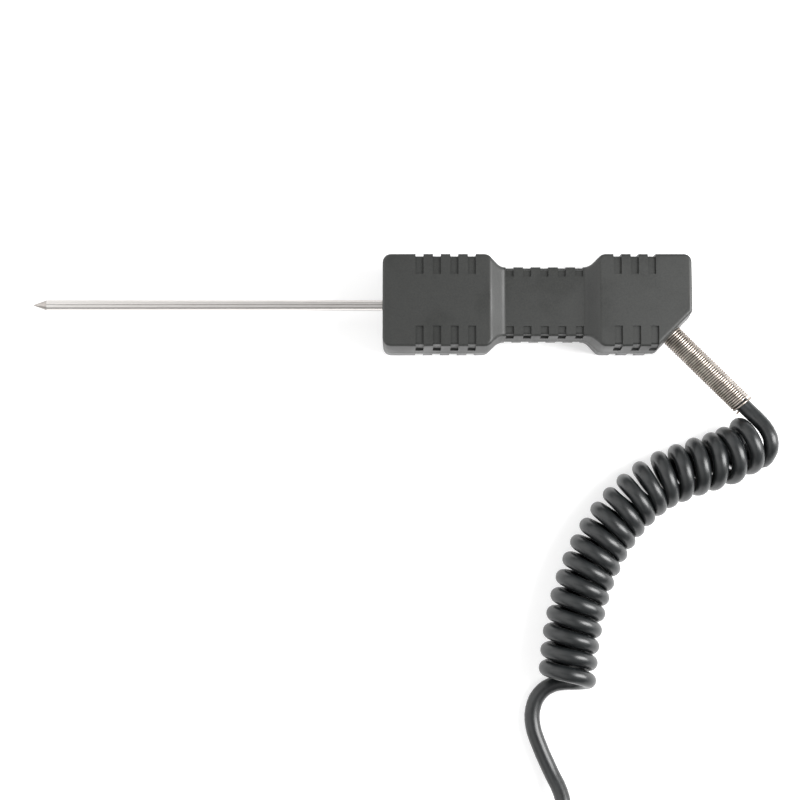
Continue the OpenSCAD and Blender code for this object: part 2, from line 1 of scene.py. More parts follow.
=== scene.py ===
import json
from math import cos, pi, radians, sin, sqrt, tan

import bmesh
import bpy
from mathutils import Matrix, Vector


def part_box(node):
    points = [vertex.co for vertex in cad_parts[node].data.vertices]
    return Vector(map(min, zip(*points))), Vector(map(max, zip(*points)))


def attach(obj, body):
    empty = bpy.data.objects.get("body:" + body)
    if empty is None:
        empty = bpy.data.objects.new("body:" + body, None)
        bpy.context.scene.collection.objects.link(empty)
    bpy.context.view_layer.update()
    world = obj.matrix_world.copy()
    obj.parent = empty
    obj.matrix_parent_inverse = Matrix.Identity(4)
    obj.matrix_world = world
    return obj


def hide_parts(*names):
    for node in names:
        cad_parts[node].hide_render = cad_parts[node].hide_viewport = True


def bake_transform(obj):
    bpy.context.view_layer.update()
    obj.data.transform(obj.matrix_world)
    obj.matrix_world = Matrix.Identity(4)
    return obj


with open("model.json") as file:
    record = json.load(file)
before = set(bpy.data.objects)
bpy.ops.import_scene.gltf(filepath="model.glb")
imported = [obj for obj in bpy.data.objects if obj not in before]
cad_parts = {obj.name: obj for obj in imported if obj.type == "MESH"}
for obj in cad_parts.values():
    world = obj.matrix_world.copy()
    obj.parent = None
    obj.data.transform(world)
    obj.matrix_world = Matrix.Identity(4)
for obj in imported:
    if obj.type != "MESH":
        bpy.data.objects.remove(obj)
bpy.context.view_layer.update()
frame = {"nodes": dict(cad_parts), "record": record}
mm = 0.001

# where the frame says things are, in mm


def nodeBox(name):
    low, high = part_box(name)
    return low / mm, high / mm


lipHeight = 0.8  # how far the back shell's lip stands up past where the shells meet
frontLow, frontHigh = nodeBox("front_shell")
noseX, partingZ = frontLow.x, nodeBox("back_shell")[1].z - lipHeight
handleLength, halfWide = frontHigh.x - noseX, frontHigh.y
halfThick = frontHigh.z - partingZ
bootRear = nodeBox("plug_boot")[1]
ringLow, ringHigh = nodeBox("coupling_ring")
plugAt = Vector(((ringLow.x + ringHigh.x) / 2, bootRear.y, (ringLow.z + ringHigh.z) / 2))

# camera

view = {
    "target": (13.4, -32.7, 12), "azimuth": 0, "elevation": 83.6, "distance": 667.6, "lens": 88,
    "clip": (0.01, 20),  # m
}


def placeCamera():
    target = Vector(view["target"]) * mm
    up, turn = radians(view["elevation"]), radians(view["azimuth"])
    back = Vector((sin(turn) * cos(up), -cos(turn) * cos(up), sin(up)))
    camera = bpy.data.objects.new("camera", bpy.data.cameras.new("camera"))
    bpy.context.scene.collection.objects.link(camera)
    camera.data.lens = view["lens"]
    camera.data.clip_start, camera.data.clip_end = view["clip"]
    camera.location = target + back * view["distance"] * mm
    camera.rotation_euler = (-back).to_track_quat("-Z", "Y").to_euler()
    bpy.context.scene.camera = camera


placeCamera()
print("camera placed")

# small tools


def linear(hexColour):
    parts = [int(hexColour[k:k + 2], 16) / 255 for k in (1, 3, 5)]
    return [c / 12.92 if c < 0.04045 else ((c + 0.055) / 1.055) ** 2.4 for c in parts] + [1]


def addNode(tree, kind, values=None, links=None, **settings):
    node = tree.nodes.new(kind)
    for key, value in settings.items():
        setattr(node, key, value)
    for key, value in (values or {}).items():
        node.inputs[key].default_value = value
    for key, socket in (links or {}).items():
        tree.links.new(socket, node.inputs[key])
    return node


def addPiece(name, mesh):
    piece = bpy.data.objects.new(name, mesh)
    bpy.context.scene.collection.objects.link(piece)
    return piece


# points in mm; edges sharper than smoothAngle stay sharp
def meshOf(name, points, faces, smoothAngle=32):
    mesh = bpy.data.meshes.new(name)
    mesh.from_pydata([Vector(p) * mm for p in points], [], faces)
    turnedOut = bmesh.new()
    turnedOut.from_mesh(mesh)
    bmesh.ops.recalc_face_normals(turnedOut, faces=turnedOut.faces)
    turnedOut.to_mesh(mesh)
    turnedOut.free()
    shadeMesh(mesh, smoothAngle)
    return mesh


def shadeMesh(mesh, smoothAngle):
    mesh.polygons.foreach_set("use_smooth", [True] * len(mesh.polygons))
    mesh.set_sharp_from_angle(angle=radians(smoothAngle))


# what the modifiers make of a piece, kept as its own plain mesh
def bakeModifiers(piece):
    graph = bpy.context.evaluated_depsgraph_get()
    made = bpy.data.meshes.new_from_object(piece.evaluated_get(graph))
    piece.modifiers.clear()
    piece.data = made
    return piece


def joined(name, meshes):
    both = bmesh.new()
    for mesh in meshes:
        both.from_mesh(mesh)
    bmesh.ops.recalc_face_normals(both, faces=both.faces)
    made = bpy.data.meshes.new(name)
    both.to_mesh(made)
    both.free()
    return made


# z runs along the direction, from the origin; mm
def axisPlace(origin, direction, top=(0, 0, 1)):
    along = Vector(direction).normalized()
    side = Vector(top).cross(along)
    side = side.normalized() if side.length > 0.01 else Vector((1, 0, 0))
    turn = Matrix((side, along.cross(side), along)).transposed().to_4x4()
    return Matrix.Translation(Vector(origin)) @ turn


# a turned part: (distance, radius) pairs go up the outside, and back down the bore if it is bored
def turned(name, profile, place, steps=64, bored=False, smoothAngle=32):
    points, faces, rings = [], [], []
    for along, radius in profile:
        count = steps if radius > 0 else 1
        rings.append(range(len(points), len(points) + count))
        for angle in (2 * pi * k / steps for k in range(count)):
            points.append(place @ Vector((radius * cos(angle), radius * sin(angle), along)))
    pairs = list(zip(rings, rings[1:]))
    if bored:
        pairs.append((rings[-1], rings[0]))
    for low, high in pairs:
        for k in range(steps):
            j = (k + 1) % steps
            if len(low) == 1:
                faces.append((low[0], high[j], high[k]))
            elif len(high) == 1:
                faces.append((low[k], low[j], high[0]))
            else:
                faces.append((low[k], low[j], high[j], high[k]))
    return meshOf(name, points, faces, smoothAngle)


# a closed prism: an outline of (a, b) pairs, drawn out along c
def prism(name, outline, start, end, place):
    count = len(outline)
    points = [place @ Vector((a, b, c)) for c in (start, end) for a, b in outline]
    faces = [tuple(range(count))[::-1], tuple(range(count, 2 * count))]
    faces += [(k, (k + 1) % count, count + (k + 1) % count, count + k) for k in range(count)]
    return meshOf(name, points, faces)


def carve(piece, meshes, operation="DIFFERENCE"):
    tool = addPiece("tool", joined("tool", meshes))
    change = piece.modifiers.new("carve", "BOOLEAN")
    change.object, change.operation, change.solver = tool, operation, "EXACT"
    bakeModifiers(piece)
    bpy.data.objects.remove(tool)


def arc(centre, radius, start, end, steps):
    angles = [radians(start + (end - start) * k / steps) for k in range(steps + 1)]
    return [(centre[0] + radius * cos(a), centre[1] + radius * sin(a)) for a in angles]


# node trees for what repeats


def newGeometryTree(name, inputs):
    tree = bpy.data.node_groups.new(name, "GeometryNodeTree")
    tree.interface.new_socket(name="Geometry", in_out="OUTPUT", socket_type="NodeSocketGeometry")
    for label, kind in inputs:
        tree.interface.new_socket(name=label, in_out="INPUT", socket_type="NodeSocket" + kind)
    return tree, addNode(tree, "NodeGroupInput").outputs


def closeTree(tree, shape, finish):
    real = addNode(tree, "GeometryNodeRealizeInstances", links={0: shape})
    painted = addNode(tree, "GeometryNodeSetMaterial",
                      links={"Geometry": real.outputs[0], "Material": finish})
    addNode(tree, "NodeGroupOutput", links={0: painted.outputs[0]})


# a copy of one piece at each vertex of the piece that carries the tree
def copiesTree():
    tree, given = newGeometryTree("copiesAtPoints", [
        ("Geometry", "Geometry"), ("Copied piece", "Object"), ("Turn outwards", "Float"),
        ("Finish", "Material")])
    place = addNode(tree, "GeometryNodeInputPosition")
    parts = addNode(tree, "ShaderNodeSeparateXYZ", links={0: place.outputs[0]})
    angle = addNode(tree, "ShaderNodeMath", links={0: parts.outputs["Y"], 1: parts.outputs["X"]},
                    operation="ARCTAN2")
    turn = addNode(tree, "ShaderNodeMath", links={0: angle.outputs[0], 1: given["Turn outwards"]},
                   operation="MULTIPLY")
    spin = addNode(tree, "ShaderNodeCombineXYZ", links={"Z": turn.outputs[0]})
    copied = addNode(tree, "GeometryNodeObjectInfo", links={"Object": given["Copied piece"]})
    spots = addNode(tree, "GeometryNodeMeshToPoints", links={"Mesh": given["Geometry"]})
    copies = addNode(tree, "GeometryNodeInstanceOnPoints", links={
        "Points": spots.outputs[0], "Instance": copied.outputs["Geometry"], "Rotation": spin.outputs[0]})
    closeTree(tree, copies.outputs[0], given["Finish"])
    return tree


# round wire wound close round an axis, with its far end bent out along it
def springTree():
    tree, given = newGeometryTree("woundSpring", [
        ("Turns", "Float"), ("Length", "Float"), ("Winding radius", "Float"), ("Wire radius", "Float"),
        ("End share", "Float"), ("End reach", "Float"), ("Finish", "Material")])
    winding = addNode(tree, "GeometryNodeCurveSpiral", {"Resolution": 30}, {
        "Rotations": given["Turns"], "Start Radius": given["Winding radius"],
        "End Radius": given["Winding radius"], "Height": given["Length"]})
    along = addNode(tree, "GeometryNodeSplineParameter")
    late = addNode(tree, "ShaderNodeMapRange", {"From Max": 1.0, "To Min": 0.0}, {
        "Value": along.outputs["Factor"], "From Min": given["End share"], "To Max": given["End reach"]},
        interpolation_type="SMOOTHSTEP")
    lift = addNode(tree, "ShaderNodeCombineXYZ", links={"Z": late.outputs[0]})
    bent = addNode(tree, "GeometryNodeSetPosition",
                   links={"Geometry": winding.outputs[0], "Offset": lift.outputs[0]})
    section = addNode(tree, "GeometryNodeCurvePrimitiveCircle", {"Resolution": 10},
                      {"Radius": given["Wire radius"]})
    wire = addNode(tree, "GeometryNodeCurveToMesh", {"Fill Caps": True}, {
        "Curve": bent.outputs[0], "Profile Curve": section.outputs[0]})
    smooth = addNode(tree, "GeometryNodeSetShadeSmooth", links={0: wire.outputs[0]})
    closeTree(tree, smooth.outputs[0], given["Finish"])
    return tree


def runTree(piece, tree, values):
    change = piece.modifiers.new("tree", "NODES")
    change.node_group = tree
    for item in tree.interface.items_tree:
        if item.name in values:
            change[item.identifier] = values[item.name]
    return bakeModifiers(piece)


copyTree = copiesTree()


def copiesOf(name, mesh, points, finish, turnOutwards=0.0):
    source = addPiece("copied", mesh)
    spots = bpy.data.meshes.new(name)
    spots.from_pydata([Vector(p) * mm for p in points], [], [])
    made = runTree(addPiece(name, spots), copyTree, {
        "Copied piece": source, "Turn outwards": turnOutwards, "Finish": finish})
    bpy.data.objects.remove(source)
    return made


# finishes


# a finish whose colour, roughness and relief follow one grain, with grains so many mm across
def newFinish(name, shaderValues, dark, light, size, stretch=(1, 1, 1), rough=(0.4, 0.5), relief=0.0,
              detail=3.0):
    finish = bpy.data.materials.new(name)
    finish.use_nodes = True
    tree = finish.node_tree
    shader = tree.nodes["Principled BSDF"]
    for key, value in shaderValues.items():
        shader.inputs[key].default_value = value
    where = addNode(tree, "ShaderNodeTexCoord")
    fitted = addNode(tree, "ShaderNodeMapping", {"Scale": stretch}, {"Vector": where.outputs["Object"]})
    noise = addNode(tree, "ShaderNodeTexNoise", {"Scale": 1 / (size * mm), "Detail": detail},
                    {"Vector": fitted.outputs[0]})
    ramp = addNode(tree, "ShaderNodeValToRGB", links={0: noise.outputs["Fac"]})
    for element, place, colour in zip(ramp.color_ramp.elements, (0.3, 0.7), (dark, light)):
        element.position, element.color = place, linear(colour)
    tree.links.new(ramp.outputs[0], shader.inputs["Base Color"])
    spread = addNode(tree, "ShaderNodeMapRange", {"To Min": rough[0], "To Max": rough[1]},
                     {"Value": noise.outputs["Fac"]})
    tree.links.new(spread.outputs[0], shader.inputs["Roughness"])
    if relief:
        bump = addNode(tree, "ShaderNodeBump", {"Strength": 1.0, "Distance": relief * mm},
                       {"Height": noise.outputs["Fac"]})
        tree.links.new(bump.outputs[0], shader.inputs["Normal"])
    return finish


# glass-filled ABS, moulded in a spark-eroded tool: an even fine grain that kills the gloss, with broad
# patches that hands have rubbed a little smoother
def mouldedAbs():
    finish = newFinish("mouldedAbs", {"IOR": 1.5}, "#202120", "#292a28", 0.45,
                       rough=(0.44, 0.56), relief=0.012)
    tree = finish.node_tree
    shader, where = tree.nodes["Principled BSDF"], tree.nodes["Texture Coordinate"]
    patches = addNode(tree, "ShaderNodeTexNoise", {"Scale": 1 / (14 * mm), "Detail": 2.0},
                      {"Vector": where.outputs["Object"]})
    rubbed = addNode(tree, "ShaderNodeMapRange",
                     {"From Min": 0.42, "From Max": 0.7, "To Min": 0.0, "To Max": -0.1},
                     {"Value": patches.outputs["Fac"]}, interpolation_type="SMOOTHSTEP")
    total = addNode(tree, "ShaderNodeMath",
                    links={0: tree.nodes["Map Range"].outputs[0], 1: rubbed.outputs[0]})
    tree.links.new(total.outputs[0], shader.inputs["Roughness"])
    return finish


# drawn and polished stainless tube: long fine lines along it that stretch each reflection
def drawnStainless():
    return newFinish("drawnStainless", {"Metallic": 1.0, "Specular Tint": linear("#8a8684")}, "#d8d4d0",
                     "#eae6e3", 0.12, (0.02, 1, 1), (0.13, 0.2), 0.0008)


# ground stainless point: rings round it from the wheel, a little duller than the tube
def groundStainless():
    return newFinish("groundStainless", {"Metallic": 1.0}, "#938e8a", "#b2ada9", 0.15, (1, 0.15, 0.15),
                     (0.26, 0.36), 0.0015)


# nickel-plated spring wire: bright and warm, with darker grey-brown patches at random, each a few turns
# across
def platedSpringWire():
    return newFinish("platedSpringWire", {"Metallic": 1.0, "Specular Tint": linear("#78706a")}, "#90877f",
                     "#c2b9b1", 2.5, rough=(0.26, 0.36))


# extruded polyurethane jacket: black and glossy, with a faint waviness that breaks its highlights
def polyurethaneJacket():
    return newFinish("polyurethaneJacket", {"IOR": 1.5, "Coat Weight": 0.1, "Coat Roughness": 0.2},
                     "#0e1011", "#181b1c", 2.2, rough=(0.32, 0.42), relief=0.01)


finishes = {
    "shell_plastic": mouldedAbs(),
    "needle_steel": drawnStainless(),
    "spring_wire": platedSpringWire(),
    "cord_jacket": polyurethaneJacket(),
    # zinc-plated steel: pale blue-grey crystals
    "screw_steel": newFinish("zincPlatedSteel", {"Metallic": 1.0}, "#a6aab2", "#c6cad0", 0.5,
                             rough=(0.28, 0.42)),
    # cast epoxy: cream, slightly cloudy and glossy
    "epoxy": newFinish("castEpoxy", {"Subsurface Weight": 0.1}, "#d8d4c2", "#e4e0d0", 1.0,
                       rough=(0.2, 0.3)),
    # welded bead: brown-grey heat tint
    "sensor": newFinish("weldedBead", {"Metallic": 1.0}, "#5a5040", "#86785e", 0.4, rough=(0.35, 0.55),
                        relief=0.01),
    # fired alumina: off-white, dense and smooth
    "ceramic": newFinish("firedAlumina", {"IOR": 1.6}, "#e2dccb", "#eee9dc", 0.8, rough=(0.3, 0.4)),
    # bare alloy wire: pale yellow-grey, drawn
    "sensor_alloy": newFinish("bareAlloyWire", {"Metallic": 1.0}, "#b8ae92", "#cfc6aa", 0.4,
                              rough=(0.25, 0.35)),
    # turned free-cutting steel: fine rings from the tool
    "collar_steel": newFinish("turnedSteel", {"Metallic": 1.0}, "#9fa0a4", "#bcbdc0", 0.2, (4, 0.3, 0.3),
                              (0.22, 0.36)),
    # black oxide on steel: near-black with a soft oily gloss
    "black_steel": newFinish("blackOxideSteel", {"Metallic": 1.0}, "#303034", "#46464c", 0.6,
                             rough=(0.35, 0.5)),
    # moulded nitrile rubber: matt black that greys where it is worn
    "seal_rubber": newFinish("mouldedRubber", {"IOR": 1.5}, "#161617", "#222224", 1.6, rough=(0.55, 0.72),
                             relief=0.012),
    # shrunk polyolefin sleeves: an even satin colour
    "sleeve_red": newFinish("redShrinkSleeve", {}, "#a81a12", "#bc2a20", 1.0, rough=(0.4, 0.5)),
    "sleeve_white": newFinish("whiteShrinkSleeve", {}, "#d2d2cc", "#e0e0da", 1.0, rough=(0.4, 0.5)),
    # extruded PVC core insulation: smooth and glossy
    "core_red": newFinish("redCoreInsulation", {}, "#b4160f", "#c8221a", 1.2, rough=(0.26, 0.34)),
    "core_white": newFinish("whiteCoreInsulation", {}, "#dcdcd6", "#eaeae4", 1.2, rough=(0.26, 0.34)),
    # moulded polyamide: dark and satin
    "clamp_plastic": newFinish("mouldedPolyamide", {"IOR": 1.5}, "#202022", "#2c2c2e", 0.5,
                               rough=(0.45, 0.58), relief=0.008),
    # satin nickel plate on turned brass: soft bright rings
    "plug_nickel": newFinish("satinNickelPlate", {"Metallic": 1.0}, "#98958e", "#b3b0a9", 0.2,
                             (0.4, 4, 0.4), (0.22, 0.34), 0.0015),
    # moulded PBT insert: black, slightly shiny
    "insert_plastic": newFinish("mouldedPbt", {"IOR": 1.55}, "#1c1c1e", "#28282b", 0.5, rough=(0.35, 0.48)),
    # gold flash on turned brass
    "contact_brass": newFinish("goldPlatedBrass", {"Metallic": 1.0}, "#cfa64e", "#e2bd6a", 0.4,
                               rough=(0.18, 0.28)),
}
groundPoint = groundStainless()

slotOf = {part["node"]: part["material_slot"] for part in frame["record"]["subparts"]}
for name, node in frame["nodes"].items():
    node.data.materials.clear()
    node.data.materials.append(finishes[slotOf[name]])
print("finishes made")


def finishPiece(piece, slot, body=None, finish=None):
    piece.data.materials.clear()
    piece.data.materials.append(finish or finishes[slot])
    if body:
        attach(piece, body)
    return piece


# the curly cord

exitPoint = Vector((noseX + 99, -10.5, partingZ))
springAxis = Vector((1, -1, 0)) / sqrt(2)
springReach = 34
springTip = exitPoint + springAxis * springReach

# routes are measured from the spring's tip, in mm
cordSizes = {
    "diameter": 5.25, "coilDiameter": 19.7, "pitch": 5.9, "firstPitch": 6.25, "lean": 16, "leanTurns": 9,
    "pitchTurns": 8, "pointsPerTurn": 16, "startBack": 1.75, "axisStep": 0.25, "spareSteps": 60,
    "lead": [(0, 0, 0), (2, -2, 0.2), (4.8, -5, 1.0), (7.4, -8.6, 2.2), (8.8, -12.8, 2.4),
             (8.4, -16.6, -0.4), (6.3, -18.6, -4.6)],
    "coil": [(2, -13), (-6, -17.5), (-18, -21.5), (-32, -28), (-45, -41), (-54, -58), (-59, -77),
             (-61, -94)],
    "runOut": [(-4.6, -0.9, 0), (-8.8, -4.0, 0.1), (-11, -9, 0.2), (-11, -14.6, 0.3), (-9.3, -20.2, 0.5)],
    "tail": [(-66, -124, -8.4), (-63, -130.5, -6.8), (-62, -136, -5.1), (-62, -140, -4.5),
             (-62, -145, -4.5), (-62, -151, -4.5), (-62, -158, -4.5)],
}


# a smooth line through the points, at equal steps
def smoothLine(points, step):
    points = [Vector(p).to_3d() for p in points]
    ends = [2 * points[0] - points[1]] + points + [2 * points[-1] - points[-2]]
    line = []
    for a, b, c, d in zip(ends, ends[1:], ends[2:], ends[3:]):
        for k in range(24):
            t = k / 24
            line.append(0.5 * (2 * b + (c - a) * t + (2 * a - 5 * b + 4 * c - d) * t ** 2
                               + (3 * b - a - 3 * c + d) * t ** 3))
    line.append(points[-1])
    even, spare = [line[0]], 0.0
    for low, high in zip(line, line[1:]):
        length = (high - low).length
        while spare + length >= step:
            share = (step - spare) / length
            low = low.lerp(high, share)
            length = (high - low).length
            even.append(low.copy())
            spare = 0.0
        spare += length
    return even


def cordRoute(size):
    radius = (size["coilDiameter"] - size["diameter"]) / 2
    rest = size["diameter"] / 2
    step, spare = size["axisStep"], size["spareSteps"]
    axis = smoothLine(size["coil"], step)
    back = (axis[0] - axis[1]).normalized()
    axis = [axis[0] + back * step * k for k in range(round(size["startBack"] / step), 0, -1)] + axis
    last = (axis[-1] - axis[-2]).normalized()
    axis += [axis[-1] + last * step * k for k in range(1, spare)]
    coilEnd = len(axis) - spare
    route = [springTip + Vector(p) for p in size["lead"]]
    place, angle = 0.0, pi
    while True:
        turn = (angle - pi) / (2 * pi)
        middle = axis[int(place)].lerp(axis[int(place) + 1], place % 1)
        ahead = (axis[int(place) + 2] - axis[int(place)]).normalized()
        across = Vector((0, 0, 1)).cross(ahead)
        lean = radians(size["lean"]) * max(0, 1 - turn / size["leanTurns"])
        upward = cos(lean) * Vector((0, 0, 1)) - sin(lean) * ahead
        middle += Vector((springTip.x, springTip.y, radius * cos(lean) + rest))
        route.append(middle + radius * (cos(angle) * upward + sin(angle) * across))
        if place > coilEnd and cos(angle) < -0.99:
            break
        pitch = size["pitch"] + (size["firstPitch"] - size["pitch"]) * max(0, 1 - turn / size["pitchTurns"])
        place += pitch / step / size["pointsPerTurn"]
        angle += 2 * pi / size["pointsPerTurn"]
    route += [route[-1] + Vector(p) for p in size["runOut"]]
    return route + [springTip + Vector(p) for p in size["tail"]]


def makeCord():
    line = bpy.data.curves.new("curlyCord", "CURVE")
    line.dimensions = "3D"
    line.bevel_depth = cordSizes["diameter"] / 2 * mm
    line.bevel_resolution, line.resolution_u, line.use_fill_caps = 8, 3, True
    route = cordRoute(cordSizes)
    spline = line.splines.new("BEZIER")
    spline.bezier_points.add(len(route) - 1)
    for knot, place in zip(spline.bezier_points, route):
        knot.co = place * mm
        knot.handle_left_type = knot.handle_right_type = "AUTO"
    length = sum((b - a).length for a, b in zip(route, route[1:]))
    print("cord route", len(route), "points", round(length), "mm")
    return addPiece("curlyCord", line), length


curlyCord, cordLength = makeCord()
finishPiece(curlyCord, "cord_jacket", "lead")
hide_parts("cord_lead", "cord_coil", "cord_tail")

# strain relief

springSizes = {"diameter": 7.6, "wire": 0.71, "pitch": 0.829, "inside": 9, "endShare": 0.975,
               "endReach": 0.9}


def makeSpring(size):
    tree = springTree()
    length = size["inside"] + springReach - size["wire"] / 2
    wound = runTree(addPiece("strainReliefSpring", bpy.data.meshes.new("empty")), tree, {
        "Turns": length / size["pitch"], "Length": length * mm, "Wire radius": size["wire"] / 2 * mm,
        "Winding radius": (size["diameter"] - size["wire"]) / 2 * mm, "End share": size["endShare"],
        "End reach": size["endReach"] * mm, "Finish": finishes["spring_wire"]})
    place = axisPlace(exitPoint - springAxis * size["inside"], springAxis)
    wound.data.transform(Matrix.Translation(place.translation * mm) @ place.to_3x3().to_4x4())
    return wound


spring = finishPiece(makeSpring(springSizes), "spring_wire")
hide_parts("strain_relief_spring")
inside, radius = springSizes["inside"], cordSizes["diameter"] / 2
jacket = [(-inside, 0), *((along, radius) for along in range(-inside, springReach + 1)), (springReach, 0)]
inSpring = addPiece("cordInSpring", turned("cordInSpring", jacket, axisPlace(exitPoint, springAxis), 32))
finishPiece(inSpring, "cord_jacket")
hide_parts("cord_in_spring")
for piece in (spring, inSpring):
    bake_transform(piece)
print("spring wound")

# needle

needleSizes = {"diameter": 3.5, "bore": 2.5, "tip": 4.7, "tipFlat": 0.12, "grip": 22, "gripDiameter": 3.1}


def makeNeedle(size):
    radius, low = size["diameter"] / 2, nodeBox("probe_tip")[0].x
    start, stem = Vector((low + size["tip"], 0, partingZ)), noseX - low - size["tip"]
    grip = size["gripDiameter"] / 2
    outside = [(0, size["bore"] / 2), (0, radius - 0.02), (0.02, radius)] + [
        (stem * k / 12, radius) for k in range(1, 12)] + [(stem - 0.15, radius), (stem, radius - 0.15)]
    tube = addPiece("needleTube", turned("needleTube", outside + [
        (stem, grip), (stem + size["grip"], grip), (stem + size["grip"], size["bore"] / 2)],
        axisPlace(start, (1, 0, 0)), 72, bored=True))
    flat, tip = size["tipFlat"], size["tip"]
    point = [(0, size["bore"] / 2 - 0.05), (0, radius - 0.02), (0.02, radius), (0.1, radius)]
    point += [(0.1 + (tip - 0.1 - flat) * k / 8, radius + (flat - radius) * k / 8) for k in range(1, 9)]
    point += [(tip - flat + flat * sin(radians(a)), flat * cos(radians(a))) for a in (30, 60)] + [(tip, 0)]
    inside = [(tip * 0.45, 0), (tip * 0.45, 0.3), (tip * 0.2, 0.8), (0, size["bore"] / 2 - 0.05)]
    cone = addPiece("needlePoint", turned(
        "needlePoint", inside + point[1:], axisPlace(start, (-1, 0, 0)), 72))
    return tube, cone


needleTube, needlePoint = makeNeedle(needleSizes)
finishPiece(needleTube, "needle_steel", "handle")
finishPiece(needlePoint, "needle_steel", "handle", groundPoint)
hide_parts("probe_tube")
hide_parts("probe_tip")
print("needle turned")

# handle shells

# local to the shell: x from the nose, y across, z up from where the shells meet
shellSizes = {
    "waistHalf": 12.35, "head": 35.9, "tail": 31, "waistFace": 8.5, "step": 4.5, "stepShift": 0.7,
    "soft": 0.5, "draft": 3.5, "endDraft": 0.571, "corner": 2.9, "shoulder": 3, "throat": 4,
    "tailCorner": 2.7, "chamferEnd": (93, 105), "chamferCorners": (1.0, 1.6), "edge": 1, "wall": 2.7,
    "roof": 2,
    # how far the rounded ends of a step reach before it and after its start
    "stepReach": (1.4, 7.1),
    # (inset, height) round the rim, from the inner wall out: the lip of the back sits in the front's groove
    "frontRim": [(2.7, 0.86), (1.2, 0.86), (1.2, 0)], "backRim": [(2.65, -0.75), (1.38, -0.75), (1.3, 0)],
}
notchSizes = {
    "width": 2.7, "depth": 0.7, "ledge": 4, "reach": 6.9, "waistReach": 3.3, "corner": 0.9,
    "head": [12.5, 18.4, 24.3, 30.2], "waist": [43.15, 49.05, 54.95, 60.85, 66.75],
    "tailTop": [79.45, 85.25, 91.05], "tailBottom": [79.55, 85.7, 91.8],
}
slope = tan(radians(shellSizes["draft"]))


# height of the outer face along the handle
def faceHeight(x, size=shellSizes):
    def ramp(t):
        soft = size["soft"]
        return 0 if t < -soft else t if t > soft else (t + soft) ** 2 / (4 * soft)

    start = size["head"] + size["stepShift"]
    end = handleLength - size["tail"] - size["stepShift"]
    fall = (halfThick - size["waistFace"]) / size["step"]
    return halfThick - fall * (ramp(x - start) - ramp(x - start - size["step"])
                               - ramp(x - end + size["step"]) + ramp(x - end))


# the shell's outline: corners with their radii, turn and the draft shares of the two sides that meet there
def outlineCorners(size):
    w, v, drop = halfWide, size["waistHalf"], halfWide - size["waistHalf"]
    head, tail, length = size["head"], handleLength - size["tail"], handleLength
    low, high = size["chamferEnd"]
    end = size["endDraft"]
    shared = [((head, w), size["shoulder"], 1, 1, 1), ((head + drop, v), size["throat"], -1, 1, 1),
              ((tail - drop, v), size["throat"], -1, 1, 1), ((tail, w), size["shoulder"], 1, 1, 1)]
    top = [((0, w), size["corner"], 1, 0, 1)] + shared + [((length, w), size["tailCorner"], 1, 1, end)]
    cut = [((high, -w + high - low), size["chamferCorners"][1], 1, end, 1),
           ((low, -w), size["chamferCorners"][0], 1, 1, 1)]
    bottom = [((x, -y), radius, turn, 1, 1) for (x, y), radius, turn, *_ in reversed(shared)]
    return top + cut + bottom + [((0, -w), size["corner"], 1, 1, 0)]


# every place round the outline as a rule: (drop, inset) to a point
def outlineStations(size):
    corners = outlineCorners(size)
    count = len(corners)
    middles = [Vector(c[0]) for c in corners]
    away = [(middles[(k + 1) % count] - middles[k]).normalized() for k in range(count)]
    out = [Vector((-d.y, d.x)) for d in away]
    stations = []
    for k, (corner, radius, turn, before, after) in enumerate(corners):
        a, b = out[k - 1], out[k]
        det = a.x * b.y - a.y * b.x

        def meet(p, q, a=a, b=b, det=det):
            return Vector(((p * b.y - q * a.y) / det, (q * a.x - p * b.x) / det))

        m, g = meet(-1, -1), meet(-before, -after)
        steps = 9 if abs(det) > 0.9 else 7
        first, second = a.angle(b), (a.x * b.y - a.y * b.x > 0) * 2 - 1
        for j in range(steps + 1):
            swing = first * second * j / steps
            n = Matrix.Rotation(swing, 2) @ a
            stations.append(("arc", Vector(corner), m, g, n, radius, turn))
        nextCorner = corners[(k + 1) % count]
        start, end = Vector(corner), Vector(nextCorner[0])
        length = (end - start).length
        trim = [r * tan(abs(p.angle(q)) / 2) for r, p, q in (
            (radius, a, b), (nextCorner[1], b, out[(k + 1) % count]))]
        inner = length - trim[0] - trim[1]
        spots = []
        if length < 7:
            spots = [trim[0] + inner * j / 8 for j in range(1, 8)]
        elif abs(start.y) < size["waistHalf"] + 0.1 and abs(end.y) < size["waistHalf"] + 0.1:
            near, far = trim[0], length - trim[1]
            spots = [near + 0.4 * j for j in range(1, 6)] + [far - 0.4 * j for j in range(5, 0, -1)]
        for spot in spots:
            stations.append(("edge", start + away[k] * spot, -b, -b * after, b, 0, 0))
    return stations


def stationPoint(station, drop, inset):
    kind, place, m, g, n, radius, turn = station
    if kind == "edge":
        return place + m * inset + g * drop
    r = max(radius - turn * inset, 0.15)
    return place + g * drop + m * (inset + turn * r) + turn * r * n


def shellRing(stations, inset, height):
    ring = []
    for station in stations:
        z = height(station[1].x)
        for _ in range(4):
            flat = stationPoint(station, abs(z) * slope, inset)
            z = height(flat.x)
        ring.append(Vector((flat.x, flat.y, z)))
    return ring


